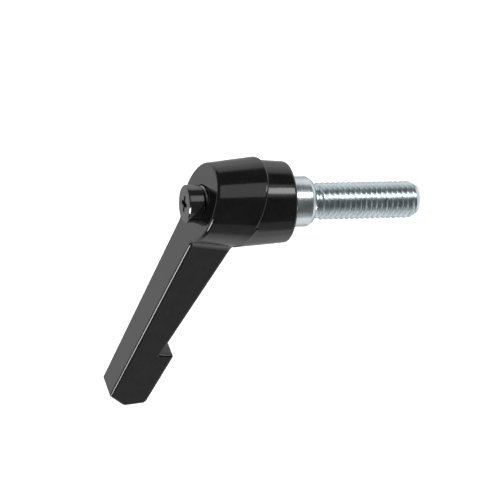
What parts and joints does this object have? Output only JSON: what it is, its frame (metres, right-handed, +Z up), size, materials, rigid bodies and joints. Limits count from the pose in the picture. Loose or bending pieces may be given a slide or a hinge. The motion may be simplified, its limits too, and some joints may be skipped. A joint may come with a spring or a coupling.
{
  "type": "adjustable clamping lever",
  "caption": "Hand lever with an angled arm on a hub that clamps by a threaded stud; lifting the hub against its spring frees the serrations so the arm can be re-set.",
  "frame": {"origin": "centre of the seat face under the insert's collar, on the stud's axis", "axes": "+Z up the hub's axis towards the screw's head, -Z along the threaded stud, +X along the arm, symmetric about the XZ plane"},
  "size_m": [0.0785, 0.0238, 0.0766],
  "materials": {
    "handle_coat": "satin black powder coat on cast zinc",
    "insert_steel": "bright zinc plated steel, slightly blue",
    "screw_steel": "blackened steel",
    "spring_steel": "plain spring wire"
  },
  "bodies": {
    "stud": {"threaded_insert": "insert_steel", "retaining_screw": "screw_steel"},
    "spring": {"compression_spring": "spring_steel"},
    "handle": {"handle": "handle_coat"}
  },
  "joints": [
    {"name": "index_turn", "type": "hinge", "parent": "stud", "child": "spring", "pos_m": [0, 0, 0], "axis": [0, 0, 1], "continuous": true},
    {"name": "handle_lift", "type": "slide", "parent": "spring", "child": "handle", "axis": [0, 0, 1], "range_m": [0, 0.0042], "stiffness_N_per_m": 3400, "springref_m": -0.003, "deforming": ["compression_spring"]}
  ]
}
